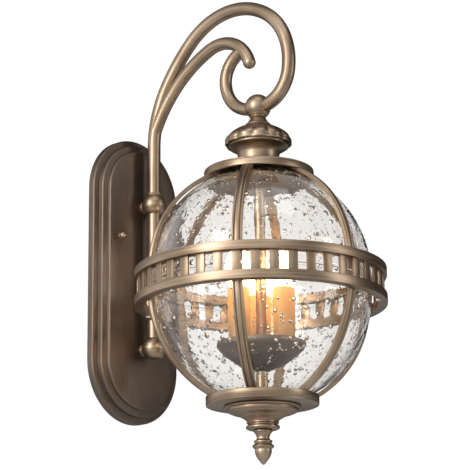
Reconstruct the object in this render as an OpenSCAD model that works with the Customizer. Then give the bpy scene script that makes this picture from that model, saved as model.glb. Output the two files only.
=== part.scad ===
// Outdoor wall lantern: a seeded glass globe in a ribbed cage, hung from a scrolled arm
// on a stepped oval backplate. The origin is the centre of the outlet box behind the
// mounting strap, on the wall. +Z is up and the lantern stands out from the wall along -Y.

/* [Globe and band] */
// Outside diameter of the band round the globe
band_d = 305; // [280:1:366]
// Height of each band rail
rail_h = 10.8; // [8:0.1:14]
// Depth of each band rail, from its outer face inwards
rail_t = 12; // [10:0.5:15]
// Height of the windows between the two rails
window_h = 23; // [16:1:32]
// Number of flat slats round the band
slat_n = 43; // [24:1:60]
// Share of the slat spacing that is metal
slat_share = 0.5; // [0.3:0.05:0.7]
// Thickness of the pierced slat ring
slat_t = 3; // [2:0.5:4]
// How far the slats stand back from the face of the rails
slat_set_back = 3.4; // [2:0.2:4]
// Number of ribs on each half of the cage
rib_n = 6; // [4:1:8]
// Width of a rib across its face
rib_w = 12; // [8:0.5:13]
// Depth of a rib
rib_t = 5; // [4:0.5:6]
// Wall of the glass bowls
glass_t = 3; // [2:0.5:4]
// Gap between the glass and the ribs
glass_gap = 1.6; // [1:0.1:4]
// How far the centre of the upper bowl's curve lies above the middle of the band
upper_offset = 15.3; // [13:0.1:18]
// How far the centre of the lower bowl's curve lies below the middle of the band
lower_offset = 8.1; // [6:0.1:10]

/* [Caps] */
// Outside diameter of the two caps that hold the ribs
cap_d = 135; // [124:1:146]
// Height of the top cap's rim
top_cap_h = 9.5; // [8:0.5:12]
// Height of the bottom cap's rim
bottom_cap_h = 11.6; // [9:0.1:14]
// Thickness of the caps' metal
cap_wall = 2.6; // [1.5:0.1:4]
// Length of rib held in the notch of a cap's rim
rib_bite = 4.2; // [3:0.1:6]
// Diameter of the scalloped cap under the hub
crown_d = 83; // [76:1:92]
// Number of lobes round the scalloped cap
lobe_n = 12; // [8:1:16]

/* [Arm and post] */
// Distance of the post's centre from the wall
post_out = 43.7; // [38:0.1:52]
// Diameter of the post and of the main arm tube
tube_d = 17; // [14:0.5:19]
// Diameter of the inner scroll
scroll_d = 16.2; // [13:0.2:17]
// Wall of the post and arm tubes
tube_wall = 1.8; // [1.2:0.2:2.6]
// Clear space between the post and the band
band_clear = 20; // [14:1:30]
// Height of the arm's first bend above the outlet box
arm_start = 124.8; // [110:1:150]
// Diameter of the hub ball that ends the arm
hub_d = 32.4; // [28:0.2:36]
// Distance between the two ball fittings on the post
ball_pitch = 189; // [160:1:210]
// Diameter of the two ball fittings
ball_d = 31; // [28:0.5:36]

/* [Backplate and wall fixing] */
// Overall width of the backplate
plate_w = 152; // [146:1:183]
// Overall height of the backplate
plate_h = 376; // [350:1:452]
// Distance of the backplate's centre below the outlet box
plate_drop = 47; // [40:1:54]
// Metal thickness of the backplate
plate_wall = 2.5; // [1.8:0.1:3]
// How far each step of the backplate is set in
step_in = 8.5; // [6:0.5:10]
// Distance between the two mounting studs
stud_pitch = 94; // [88:1:100]
// Diameter of the mounting studs
stud_d = 4; // [3:0.5:5]
// Distance between the strap's two screw slots
slot_pitch = 70; // [60:1:76]
// Width of the strap's screw slots
slot_w = 4.6; // [4:0.1:6]

/* [Lamp cluster] */
// Number of candles
candle_n = 3; // [2:1:4]
// Radius of the circle that the candles stand on
candle_circle = 31; // [29:0.5:34]
// Direction of the first candle, from straight out
candle_turn = 13; // [0:1:119]
// Outside diameter of a candle sleeve
sleeve_d = 26.5; // [24:0.5:30]
// Height of a candle sleeve
sleeve_h = 64; // [50:1:72]
// Diameter of the dish that carries the candles
dish_d = 107; // [100:1:118]
// Depth of that dish
dish_h = 34; // [28:1:38]
// Diameter of the centre tube
centre_d = 13; // [11:0.5:14]
// Greatest diameter of a bulb
bulb_d = 35; // [28:1:36]
// Height of a bulb's glass above its cap
bulb_h = 62; // [52:1:70]

/* [Hidden] */
$fn = 96;
// Clearance between parts that are only laid together
seat = 0.05;
// Clearance round parts that have to come out or turn
loose = 0.3;
// Overshoot of a cutter
cut = 1;

// Globe
band_r = band_d / 2;
band_inner_r = band_r - rail_t;
half_window = window_h / 2;
half_band = half_window + rail_h;
rib_outer_r = band_inner_r - seat;
rib_inner_r = rib_outer_r - rib_t;
glass_r = rib_inner_r - glass_gap;
rib_pitch = 360 / rib_n;
slat_pitch = 360 / slat_n;
slat_outer_r = band_r - slat_set_back;
slat_inner_r = slat_outer_r - slat_t;
// The slats start one degree off the front rib
slat_phase = -1;
// Depth of the groove in the upper rail that takes the slat ring
slat_tongue = 2;
// Screws up into the lower rail, a little off the middle between two ribs
screw_turn = 4;
screw_in = 3.2;
screw_r = 1.25;
screw_l = 4.5;
screw_head_r = 2.4;
screw_head_h = 1.6;
// Parting of the two bowls at the middle of the band
bowl_part = 1.5;

// Caps: each rim meets the ribs' outer face at its open edge
cap_r = cap_d / 2;
rib_edge_r = cap_r + 0.6;
rib_rise = sqrt(pow(rib_outer_r, 2) - pow(rib_edge_r, 2));
function cap_open_z(offset) = offset + rib_rise;
function rib_end_z(offset) = cap_open_z(offset) + rib_bite;
top_face_z = cap_open_z(upper_offset) + top_cap_h;
bottom_face_z = cap_open_z(lower_offset) + bottom_cap_h;
cap_inner_r = cap_r - cap_wall;
// The bowls' necks end this far inside their caps
neck_in = 4.2;
function neck_z(offset) = cap_open_z(offset) + neck_in;

// Stack between the top cap and the hub, each height above the one before
dome_h = 6;
dome_top_r = 26.4;
waist_h = 27;
waist_r = 26;
waist_flare_r = 37;
waist_lap = 4;
crown_h = 27;
bell_h = 12;
bell_r = 16.1;
bell_neck_r = 9.2;
bell_ring_r = 1.6;
hub_flat = 2.6;
waist_z = top_face_z + dome_h;
crown_z = waist_z + waist_h;
bell_z = crown_z + crown_h;
hub_z = bell_z + bell_h + hub_d / 2 - hub_flat;
crown_r = crown_d / 2;

// Arm: bends as [radius, degrees], in proportion to a reach of 180.9
unit_reach = 180.9;
arm_unit = [[144, 33.2], [233, 16.3], [104.6, 79.1], [85.9, 60.7], [44.4, 89.5]];
scroll_unit = [[174.3, 45.2], [52.5, 93.3]];
// Root of the scroll inside the arm's foot, and its heading there
scroll_root = [1.1, 19.4];
scroll_turn = 65.1;
curl_unit = [[46.4, 93.3], [36, 85.5]];
// The curl leaves the hub this far below level
curl_dip = 8.4;
axis_out = post_out + tube_d / 2 + band_clear + band_r;
reach = axis_out - post_out;
arm_scale = reach / unit_reach;
function scaled(bends) = [for (b = bends) [b[0] * arm_scale, b[1]]];
arm_bends = scaled(arm_unit);
scroll_bends = scaled(scroll_unit);
curl_bends = scaled(curl_unit);
// Width of the hairline where two bends meet, and the plug that joins them
joint_gap = 0.02;
plug_in = 0.5;
plug_l = 0.8;
function bend_centre(p, h, r) = p + r * [sin(h), -cos(h)];
function bend_stop(p, h, r, a) = bend_centre(p, h, r) + r * [-sin(h - a), cos(h - a)];
function path_stop(p, h, bends, i = 0) = i == len(bends)
    ? p
    : path_stop(bend_stop(p, h, bends[i][0], bends[i][1]), h - bends[i][1], bends, i + 1);
arm_foot = [post_out, arm_start];
scroll_foot = arm_foot + arm_scale * scroll_root;
arm_tip = path_stop(arm_foot, 90, arm_bends);
scroll_waist = bend_stop(scroll_foot, scroll_turn, scroll_bends[0][0], scroll_bends[0][1]);
scroll_tip = path_stop(scroll_foot, scroll_turn, scroll_bends);
hub_level = arm_tip[1];
lantern_z = hub_level - hub_z;
tube_r = tube_d / 2;
tube_bore_r = tube_r - tube_wall;
scroll_r = scroll_d / 2;
curl_r = scroll_r - 0.2;
hub_r = hub_d / 2;

// Post fittings
ball_r = ball_d / 2;
upper_z = ball_pitch / 2 - plate_drop;
lower_z = -ball_pitch / 2 - plate_drop;
barrel_r = ball_r;
collar_up = 15;
ball_flat = 12.9;

// Backplate
plate_r = plate_w / 2;
plate_straight = plate_h - plate_w;
gasket_t = 1.5;
step_depth = [10, 7.5, 5];
plate_face = gasket_t + step_depth[0] + step_depth[1] + step_depth[2];
step_round = 2.5;
stub_r = 7.5;
stub_bore = 4.2;
stub_out = post_out - ball_r + 1;
bolt_r = 4;
// Length of bolt screwed into a ball fitting, and the space left past its end
bolt_bite = 3;
bolt_end_clear = 0.5;
bolt_head_r = 8;

// Wall strap, studs and nuts
strap_l = 108;
strap_h = 22;
strap_t = 2;
slot_l = 14;
stud_r = stud_d / 2;
stud_out = plate_face + 11;
nut_r = 4.6;
nut_l = 10;

// Lamp cluster
dish_r = dish_d / 2;
dish_z = -66.5;
dish_rim = 6;
dish_low = dish_z - dish_h;
dish_wall = 1.5;
cover_t = 1.6;
sleeve_r = sleeve_d / 2;
sleeve_wall = 1.4;
holder_r = 10;
holder_h = sleeve_h - 11;
holder_bore = 6.6;
bulb_cap_r = 6.2;
bulb_cap_l = 24;
bulb_r = bulb_d / 2;
centre_r = centre_d / 2;
rod_r = 4.8;
rod_wall = 1.4;
// Length of the hanging tube above the hub's centre
rod_in = 3;
stem_r = 7;
spacer_l = 24;
heat_r = 52;
heat_t = 1.2;
heat_drop = 11.6;
heat_z = top_face_z - cap_wall - heat_drop;

// Base and finial
base_z = -bottom_face_z;
moulding_h = 28.5;
finial_z = base_z - moulding_h;
finial_l = 41;
finial_bore_l = 14;

bronze = [0.50, 0.42, 0.34];
dark_bronze = [0.38, 0.32, 0.28];
clear_glass = [0.92, 0.93, 0.92, 0.35];
rubber = [0.12, 0.12, 0.12];
zinc = [0.70, 0.71, 0.72];
ivory = [0.86, 0.66, 0.40];

// Places children on the lantern's axis, with their zero at the middle of the band
module at_lantern() {
    translate([0, -axis_out, lantern_z]) children();
}

// Places children at a candle, with their zero at the top of the dish
module at_candle(i) {
    turn = candle_turn + (i - 1) * 360 / candle_n;
    at_lantern() rotate([0, 0, turn - 90]) translate([candle_circle, 0, dish_z]) children();
}

// Lays a drawing plane with x out from the wall and y up onto the arm's plane
module in_arm_plane() {
    rotate([90, 0, -90]) children();
}

// Points a +Z shape out from the wall
module outwards() {
    rotate([90, 0, 0]) children();
}

// One bend of solid round bar, curving to the right of its heading
module bend(p, h, r, a, bar_r) {
    c = bend_centre(p, h, r);
    hairline = joint_gap / r * 180 / PI;
    translate([c[0], c[1], 0]) rotate([0, 0, h + 90 - a + hairline]) rotate_extrude(angle = a - hairline)
        translate([r, 0]) circle(r = bar_r);
}

// A chain of bends, each carrying on from the last, with a plug inside every joint
module bent_bar(p, h, bends, bar_r, i = 0) {
    r = bends[i][0];
    a = bends[i][1];
    q = bend_stop(p, h, r, a);
    bend(p, h, r, a, bar_r);
    if (i + 1 < len(bends)) {
        translate([q[0], q[1], 0]) rotate([0, 0, h - a]) rotate([0, 90, 0])
            cylinder(r = bar_r - plug_in, h = plug_l, center = true);
        bent_bar(q, h - a, bends, bar_r, i + 1);
    }
}

// Stadium outline standing on end
module stadium(r, straight) {
    for (s = [-1, 1]) translate([0, s * straight / 2]) circle(r = r);
    square([2 * r, straight], center = true);
}

module at_studs() {
    for (s = [-1, 1]) translate([s * stud_pitch / 2, 0, 0]) children();
}

module strap() {
    color(zinc) outwards() difference() {
        linear_extrude(strap_t) union() {
            square([strap_l - strap_h, strap_h], center = true);
            for (s = [-1, 1]) translate([s * (strap_l - strap_h) / 2, 0]) circle(r = strap_h / 2);
        }
        at_studs() translate([0, 0, -cut]) cylinder(r = stud_r, h = strap_t + 2 * cut);
        for (s = [-1, 1]) translate([s * slot_pitch / 2, 0, -cut])
            linear_extrude(strap_t + 2 * cut) union() {
                square([slot_l - slot_w, slot_w], center = true);
                for (e = [-1, 1]) translate([e * (slot_l - slot_w) / 2, 0]) circle(r = slot_w / 2);
            }
        translate([0, -strap_h / 4, -cut]) cylinder(r = 2, h = strap_t + 2 * cut);
    }
}

module mounting_studs() {
    color(zinc) outwards() at_studs() cylinder(r = stud_r, h = stud_out);
}

module cap_nuts() {
    color(bronze) outwards() at_studs() translate([0, 0, plate_face + seat]) difference() {
        union() {
            cylinder(r = nut_r - 1, h = nut_l);
            translate([0, 0, nut_l + 1]) sphere(r = nut_r);
        }
        translate([0, 0, -cut]) cylinder(r = stud_r + seat, h = stud_out - plate_face + cut + 1);
    }
}

module earth_screw() {
    color([0.25, 0.5, 0.3]) outwards() translate([0, -strap_h / 4, 0]) {
        translate([0, 0, 0.2]) cylinder(r = 2 - seat, h = strap_t);
        translate([0, 0, strap_t + seat]) cylinder(r = 4, h = 2.4);
    }
}

module gasket() {
    color(rubber) outwards() translate([0, -plate_drop, 0]) linear_extrude(gasket_t) difference() {
        stadium(plate_r - 2, plate_straight);
        stadium(plate_r - plate_wall - 5, plate_straight);
    }
}

// One tier of the backplate with a rounded front edge
module tier(r, from, depth) {
    translate([0, 0, from]) linear_extrude(depth - step_round) stadium(r, plate_straight);
    translate([0, 0, from + depth - step_round]) linear_extrude(step_round)
        stadium(r - step_round, plate_straight);
    translate([0, 0, from + depth - step_round]) {
        for (s = [0, 1]) rotate([0, 0, s * 180]) translate([0, plate_straight / 2, 0])
            rotate_extrude(angle = 180) translate([r - step_round, 0]) quarter_round(step_round);
        for (s = [-1, 1]) translate([s * (r - step_round), plate_straight / 2, 0]) rotate([90, 0, 0])
            linear_extrude(plate_straight) scale([s, 1]) quarter_round(step_round);
    }
}

module quarter_round(r) {
    intersection() {
        circle(r = r);
        square(r);
    }
}

module backplate() {
    color(dark_bronze) outwards() difference() {
        translate([0, -plate_drop, 0]) difference() {
            union() {
                tier(plate_r, gasket_t, step_depth[0]);
                tier(plate_r - step_in, gasket_t, step_depth[0] + step_depth[1]);
                tier(plate_r - 2 * step_in, gasket_t, plate_face - gasket_t);
            }
            translate([0, 0, gasket_t - cut]) linear_extrude(step_depth[0] - plate_wall + cut)
                stadium(plate_r - plate_wall, plate_straight);
            translate([0, 0, gasket_t - cut])
                linear_extrude(step_depth[0] + step_depth[1] - plate_wall + cut)
                stadium(plate_r - step_in - plate_wall, plate_straight);
            translate([0, 0, gasket_t - cut]) linear_extrude(plate_face - gasket_t - plate_wall + cut)
                stadium(plate_r - 2 * step_in - plate_wall, plate_straight);
        }
        at_studs() cylinder(r = stud_r + loose, h = plate_face + cut);
        for (z = [upper_z, lower_z]) translate([0, z, 0]) cylinder(r = bolt_r + seat, h = plate_face + cut);
    }
}

// Turned stub with two bead rings between the plate and a ball
module stub() {
    bead_r = 1.1;
    bead_in = 0.3;
    lip_h = 1;
    stub_l = stub_out - plate_face;
    difference() {
        union() {
            translate([0, 0, plate_face + seat]) cylinder(r = stub_r - 1.5, h = stub_out - plate_face - seat);
            for (z = [bead_r + bead_in, stub_l - bead_r - bead_in]) translate([0, 0, plate_face + z])
                rotate_extrude() translate([stub_r - bead_r, 0]) circle(r = bead_r);
            translate([0, 0, plate_face + seat]) cylinder(r = stub_r, h = lip_h);
        }
        cylinder(r = bolt_r + seat, h = stub_out + cut);
    }
}

module upper_stub() {
    color(bronze) outwards() translate([0, upper_z, 0]) stub();
}

module lower_stub() {
    color(bronze) outwards() translate([0, lower_z, 0]) stub();
}

// Bolts from inside the plate, through the stubs, into the ball fittings
module fixing_bolts() {
    bolt_head_h = 4;
    plate_inside = plate_face - plate_wall - seat;
    color(zinc) outwards() for (z = [upper_z, lower_z]) translate([0, z, 0]) {
        translate([0, 0, plate_inside - bolt_head_h]) cylinder(r = bolt_head_r, h = bolt_head_h, $fn = 6);
        translate([0, 0, plate_inside]) cylinder(r = bolt_r, h = stub_out + bolt_bite - plate_inside);
    }
}

module bolt_socket() {
    outwards() cylinder(r = bolt_r + seat, h = stub_out + bolt_bite + bolt_end_clear);
}

// Space in front of a stub's end, which leaves a flat on the ball
module stub_flat(z) {
    translate([0, -stub_out, z]) outwards() translate([0, 0, -ball_d])
        cylinder(r = ball_r, h = ball_d + seat);
}

module post() {
    low = lower_z + ball_flat + seat;
    high = upper_z - ball_flat - seat;
    color(bronze) translate([0, -post_out, low]) difference() {
        cylinder(r = tube_r, h = high - low);
        translate([0, 0, -cut]) cylinder(r = tube_bore_r, h = high - low + 2 * cut);
    }
}

// Ball with flats above and below, a raised collar on top, and a flat at the stub
module upper_barrel() {
    color(bronze) difference() {
        translate([0, -post_out, upper_z]) {
            intersection() {
                sphere(r = barrel_r);
                translate([0, 0, -ball_flat]) cylinder(r = barrel_r, h = 2 * ball_flat + 1);
            }
            cylinder(r = tube_r + 1.6, h = collar_up);
            translate([0, 0, collar_up - 1.2]) rotate_extrude() translate([tube_r, 0]) circle(r = 1.6);
        }
        translate([0, -post_out, upper_z + ball_flat - 2]) cylinder(r = tube_r + seat, h = collar_up);
        stub_flat(upper_z);
        translate([0, 0, upper_z]) bolt_socket();
    }
}

module lower_ball() {
    color(bronze) difference() {
        translate([0, -post_out, lower_z]) intersection() {
            sphere(r = ball_r);
            translate([0, 0, -ball_d]) cylinder(r = ball_d, h = ball_d + ball_flat);
        }
        stub_flat(lower_z);
        translate([0, 0, lower_z]) bolt_socket();
    }
}

module arm_solid(r) {
    in_arm_plane() bent_bar(arm_foot, 90, arm_bends, r);
}

module at_hub() {
    translate([0, -axis_out, hub_level]) children();
}

module arm() {
    foot = upper_z + ball_flat - 2 + seat;
    color(bronze) difference() {
        union() {
            arm_solid(tube_r);
            translate([0, -post_out, foot]) cylinder(r = tube_r, h = arm_start - joint_gap - foot);
            translate([0, -post_out, arm_start - plug_l / 2]) cylinder(r = tube_r - plug_in, h = plug_l);
        }
        arm_solid(tube_bore_r);
        translate([0, -post_out, foot - cut])
            cylinder(r = tube_bore_r, h = arm_start - joint_gap - foot + cut);
        translate([0, -post_out, arm_start - plug_l / 2]) cylinder(r = tube_bore_r - plug_in, h = plug_l);
        at_hub() sphere(r = hub_r + seat);
    }
}

// Bent bar of the scroll with a round end
module scroll_solid() {
    end_turn = scroll_turn - scroll_bends[0][1] - scroll_bends[1][1];
    in_arm_plane() {
        bent_bar(scroll_foot, scroll_turn, scroll_bends, scroll_r);
        translate([scroll_tip[0], scroll_tip[1], 0]) rotate([0, 0, end_turn]) rotate([0, 90, 0]) {
            cylinder(r = scroll_r - plug_in, h = plug_l, center = true);
            translate([0, 0, joint_gap]) rotate_extrude() quarter_round(scroll_r);
        }
    }
}

// The scroll is coped to the arm's first bend
module scroll() {
    cope_on = 6;
    color(bronze) difference() {
        scroll_solid();
        in_arm_plane() bend(arm_foot, 90, arm_bends[0][0], arm_bends[0][1] + cope_on, tube_r + seat);
    }
}

module curl() {
    color(bronze) difference() {
        in_arm_plane() bent_bar([axis_out, hub_level + 0.6], 180 + curl_dip, curl_bends, curl_r);
        at_hub() sphere(r = hub_r + seat);
        in_arm_plane() bend(scroll_waist, scroll_turn - scroll_bends[0][1], scroll_bends[1][0],
            scroll_bends[1][1], scroll_r + seat);
    }
}

module hub_ball() {
    color(bronze) at_hub() difference() {
        sphere(r = hub_r);
        translate([0, 0, hub_flat - 2 * hub_r]) cylinder(r = hub_r, h = hub_r);
        translate([0, 0, -hub_r - cut]) cylinder(r = rod_r + seat, h = hub_r + cut + rod_in + 1);
    }
}

// Threaded tube that the whole lantern hangs from, hub to cap
module hanger_tube() {
    low = heat_z;
    color(zinc) at_lantern() difference() {
        translate([0, 0, low]) cylinder(r = rod_r, h = hub_z + rod_in - low);
        translate([0, 0, low - cut]) cylinder(r = rod_r - rod_wall, h = hub_z + rod_in - low + 2 * cut);
    }
}

module bell_collar() {
    color(bronze) at_lantern() translate([0, 0, bell_z + seat]) difference() {
        union() {
            rotate_extrude() polygon([
                [0, 0],
                [bell_r, 0],
                [bell_r - 0.5, 1.2],
                [bell_r - 3.5, 5],
                [bell_neck_r + 1.2, 8],
                [bell_neck_r, 9.4],
                [bell_neck_r, bell_h - 2 * seat],
                [0, bell_h - 2 * seat]
            ]);
            translate([0, 0, bell_h]) intersection() {
                rotate_extrude() union() {
                    translate([bell_neck_r - 0.6, 0]) circle(r = bell_ring_r);
                    translate([0, -bell_ring_r]) square([bell_neck_r - 0.6, 2 * bell_ring_r]);
                }
                translate([0, 0, -2 * bell_ring_r]) cylinder(r = bell_r, h = 2 * bell_ring_r - 2 * seat);
            }
        }
        translate([0, 0, -cut]) cylinder(r = rod_r + seat, h = bell_h + 2 * cut);
    }
}

// Fluted disc: a turned dome with a lobe bulging at every flute
module scalloped_cap() {
    lobe_r = PI * (crown_r - 6) / lobe_n * 1.12;
    lobe_up = 10.5;
    slope_h = 7;
    core_low = 4;
    color(bronze) at_lantern() translate([0, 0, crown_z + seat]) difference() {
        union() {
            translate([0, 0, crown_h - slope_h])
                cylinder(r1 = crown_r - 6, r2 = bell_r - 0.5, h = slope_h - 2 * seat);
            translate([0, 0, core_low]) cylinder(r = crown_r - 5, h = crown_h - slope_h - core_low);
            for (i = [0 : lobe_n - 1]) rotate([0, 0, (i + 0.5) * 360 / lobe_n])
                translate([crown_r - lobe_r, 0, lobe_up]) sphere(r = lobe_r);
        }
        translate([0, 0, -2 * lobe_r]) cylinder(r = crown_r + cut, h = 2 * lobe_r);
        translate([0, 0, -cut]) cylinder(r = waist_flare_r + seat, h = cut + waist_lap);
        translate([0, 0, -cut]) cylinder(r = rod_r + seat, h = crown_h + 2 * cut);
    }
}

module waist() {
    cove_r = 12.2;
    cove_z = waist_h - 14.6;
    waist_floor = 2;
    waist_wall = 8;
    color(bronze) at_lantern() translate([0, 0, waist_z + seat]) rotate_extrude() difference() {
        union() {
            square([waist_r, waist_h]);
            translate([0, waist_h / 2]) square([waist_flare_r, waist_h / 2 + waist_lap]);
        }
        translate([waist_flare_r + 0.6, cove_z]) circle(r = cove_r);
        translate([waist_r, cove_z - cove_r]) square([cove_r + cut, cove_r]);
        translate([-cut, -cut]) square([rod_r + seat + cut, waist_h + waist_lap + 2 * cut]);
        translate([-cut, waist_floor]) square([waist_r - waist_wall + cut, waist_h - waist_floor]);
    }
}

// Pan-shaped cap opening downwards, with the ribs' ends in notches in its rim
module pan(offset, face_z, bore_r) {
    difference() {
        rotate_extrude() difference() {
            translate([0, cap_open_z(offset)]) square([cap_r, face_z - cap_open_z(offset)]);
            translate([-cut, 0]) square([cap_inner_r + cut, face_z - cap_wall]);
            translate([-cut, 0]) square([bore_r + cut, face_z + cut]);
        }
        for (i = [0 : rib_n - 1]) rotate([0, 0, i * rib_pitch - 90]) rib_space(offset);
    }
}

// Space that a rib takes up, a little wider than the rib
module rib_space(offset) {
    rotate([90, 0, 0]) translate([0, offset, -rib_w / 2 - seat]) difference() {
        intersection() {
            cylinder(r = rib_outer_r + seat, h = rib_w + 2 * seat);
            translate([0, 0, -cut]) cube([band_r, rib_end_z(offset) - offset + seat, rib_w + 4 * cut]);
        }
        translate([0, 0, -cut]) cylinder(r = rib_inner_r - seat, h = rib_w + 4 * cut);
    }
}

// The top cap rises in a shallow cone to the waist
module top_cap() {
    color(bronze) at_lantern() {
        pan(upper_offset, top_face_z, rod_r + seat);
        rotate_extrude() polygon([
            [rod_r + seat, top_face_z - 1],
            [cap_r - 6, top_face_z - 1],
            [cap_r - 3, top_face_z],
            [dome_top_r, top_face_z + dome_h],
            [rod_r + seat, top_face_z + dome_h]
        ]);
    }
}

module bottom_cap() {
    color(bronze) at_lantern() mirror([0, 0, 1]) pan(lower_offset, bottom_face_z, rod_r + loose);
}

// Disc that closes the neck of the upper bowl and keeps the heat off the cap
module heat_plate() {
    color(dark_bronze) at_lantern() translate([0, 0, heat_z]) difference() {
        cylinder(r = heat_r, h = heat_t);
        translate([0, 0, -cut]) cylinder(r = rod_r + seat, h = heat_t + 2 * cut);
    }
}

// Plain band rail
module rail() {
    rotate_extrude() translate([band_inner_r, half_window]) square([rail_t, rail_h]);
}

// The upper rail has a groove that holds the slat ring
module upper_rail() {
    color(bronze) at_lantern() difference() {
        rail();
        rotate_extrude() translate([slat_inner_r - seat, half_window - cut])
            square([slat_t + 2 * seat, cut + slat_tongue]);
    }
}

module lower_rail() {
    color(bronze) at_lantern() difference() {
        mirror([0, 0, 1]) rail();
        screw_holes();
    }
}

module at_rail_screws() {
    for (i = [0 : rib_n - 1]) rotate([0, 0, (i + 0.5) * rib_pitch - 90 - screw_turn])
        translate([band_inner_r + screw_in, 0, 0]) children();
}

module screw_holes() {
    at_rail_screws() translate([0, 0, -half_band - cut]) cylinder(r = screw_r, h = screw_l + 0.5 + cut);
}

module rail_screws() {
    color(zinc) at_lantern() at_rail_screws() {
        translate([0, 0, -half_band - seat - screw_head_h]) cylinder(r = screw_head_r, h = screw_head_h);
        translate([0, 0, -half_band - seat]) cylinder(r = screw_r - seat, h = screw_l);
    }
}

module slat_ring() {
    low = -half_window + loose;
    ring_h = half_window + slat_tongue - seat - low;
    window_turn = slat_pitch * (1 - slat_share);
    foot_h = 1.2;
    color(bronze) at_lantern() difference() {
        translate([0, 0, low]) difference() {
            cylinder(r = slat_outer_r, h = ring_h);
            translate([0, 0, -cut]) cylinder(r = slat_inner_r, h = ring_h + 2 * cut);
        }
        for (i = [0 : slat_n - 1]) rotate([0, 0, (i + 0.5) * slat_pitch + slat_phase - 90 - window_turn / 2])
            rotate_extrude(angle = window_turn) translate([slat_inner_r - cut, low + foot_h])
            square([slat_t + 2 * cut, half_window - low - foot_h]);
    }
}

// Bowl with its open end at the middle of the band and its neck in a cap
module bowl(offset) {
    inner_r = glass_r - glass_t;
    rotate_extrude() difference() {
        union() {
            intersection() {
                translate([0, offset]) circle(r = glass_r);
                translate([0, offset]) square([glass_r, neck_z(offset) - offset]);
            }
            translate([0, bowl_part]) square([glass_r, offset - bowl_part]);
        }
        translate([0, offset]) circle(r = inner_r);
        translate([-cut, bowl_part - cut]) square([inner_r + cut, offset - bowl_part + cut]);
    }
}

module upper_glass() {
    color(clear_glass) at_lantern() bowl(upper_offset);
}

module lower_glass() {
    color(clear_glass) at_lantern() mirror([0, 0, 1]) bowl(lower_offset);
}

// A rib is an arc of flat bar, upright in its own plane
module rib(offset) {
    foot_l = offset - bowl_part;
    intersection() {
        rotate([90, 0, 0]) translate([0, offset, -rib_w / 2]) difference() {
            union() {
                cylinder(r = rib_outer_r, h = rib_w);
                translate([0, -foot_l, 0]) cube([rib_outer_r, foot_l, rib_w]);
            }
            translate([0, 0, -cut]) cylinder(r = rib_inner_r, h = rib_w + 2 * cut);
            translate([0, -foot_l - cut, -cut]) cube([rib_inner_r, foot_l + cut, rib_w + 2 * cut]);
        }
        translate([0, -rib_w, bowl_part]) cube([band_r, 2 * rib_w, rib_end_z(offset) - bowl_part]);
        cylinder(r = rib_outer_r, h = rib_end_z(offset));
    }
}

module upper_rib(i) {
    color(bronze) at_lantern() rotate([0, 0, (i - 1) * rib_pitch - 90]) rib(upper_offset);
}

module lower_rib(i) {
    color(bronze) at_lantern() mirror([0, 0, 1]) rotate([0, 0, (i - 1) * rib_pitch - 90]) rib(lower_offset);
}

// Points round the dish's bowl, from its middle out to its upright rim
function dish_curve(inset) = let (
        bowl_h = dish_h - dish_rim,
        r = (pow(dish_r, 2) + pow(bowl_h, 2)) / (2 * bowl_h),
        sweep = asin(dish_r / r)
    ) [for (k = [0 : 12]) [(r - inset) * sin(sweep * k / 12), r - dish_h - (r - inset) * cos(sweep * k / 12)]];

// Shallow dish with an upright rim
module dish() {
    color(dark_bronze) at_lantern() translate([0, 0, dish_z]) rotate_extrude() difference() {
        polygon(concat(dish_curve(0), [[dish_r, 0], [0, 0]]));
        polygon(concat(dish_curve(dish_wall), [[dish_r - dish_wall, cut], [0, cut]]));
        translate([-cut, -dish_h - cut]) square([rod_r + seat + cut, dish_h + 2 * cut]);
    }
}

module dish_cover() {
    color(dark_bronze) at_lantern() translate([0, 0, dish_z - cover_t]) difference() {
        cylinder(r = dish_r - dish_wall - seat, h = cover_t);
        translate([0, 0, -cut]) cylinder(r = rod_r + seat, h = cover_t + 2 * cut);
    }
}

module candle_sleeve(i) {
    color(ivory) at_candle(i) translate([0, 0, seat]) difference() {
        cylinder(r = sleeve_r, h = sleeve_h);
        translate([0, 0, -cut]) cylinder(r = sleeve_r - sleeve_wall, h = sleeve_h + 2 * cut);
    }
}

module lampholder(i) {
    color([0.9, 0.9, 0.88]) at_candle(i) translate([0, 0, seat]) difference() {
        union() {
            cylinder(r = holder_r, h = holder_h);
            cylinder(r = sleeve_r - sleeve_wall - seat, h = 2);
        }
        translate([0, 0, holder_h - bulb_cap_l + 4]) cylinder(r = holder_bore, h = bulb_cap_l);
    }
}

module bulb_cap(i) {
    color(zinc) at_candle(i) translate([0, 0, holder_h - bulb_cap_l + 7]) {
        cylinder(r = bulb_cap_r, h = bulb_cap_l - 1);
        translate([0, 0, -2]) cylinder(r = 3, h = 2);
    }
}

// Candle bulb: a round body drawn up to a blunt point
module bulb(i) {
    low = holder_h + 6 + seat;
    color(clear_glass) at_candle(i) translate([0, 0, low]) rotate_extrude() difference() {
        polygon(bulb_outline(0));
        polygon(bulb_outline(1));
    }
}

function bulb_outline(inset) = concat(
    [[0, inset], [bulb_cap_r - inset, inset]],
    [for (k = [1 : 11]) [bulb_radius(k / 12) - inset, inset + k / 12 * (bulb_h - 2 * inset)]],
    [[0, bulb_h - inset]]
);
function bulb_radius(u) = u < 0.38
    ? bulb_cap_r + (bulb_r - bulb_cap_r) * pow(sin(u / 0.38 * 90), 1.2)
    : bulb_r * pow(cos((u - 0.38) / 0.62 * 84), 0.85);

// Tube down the middle of the globe, from the heat plate to the dish
module centre_tube() {
    color(bronze) at_lantern() translate([0, 0, dish_z + seat]) difference() {
        cylinder(r = centre_r, h = heat_z - dish_z - 2 * seat);
        translate([0, 0, -cut]) cylinder(r = rod_r + seat, h = heat_z - dish_z + cut);
    }
}

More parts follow.
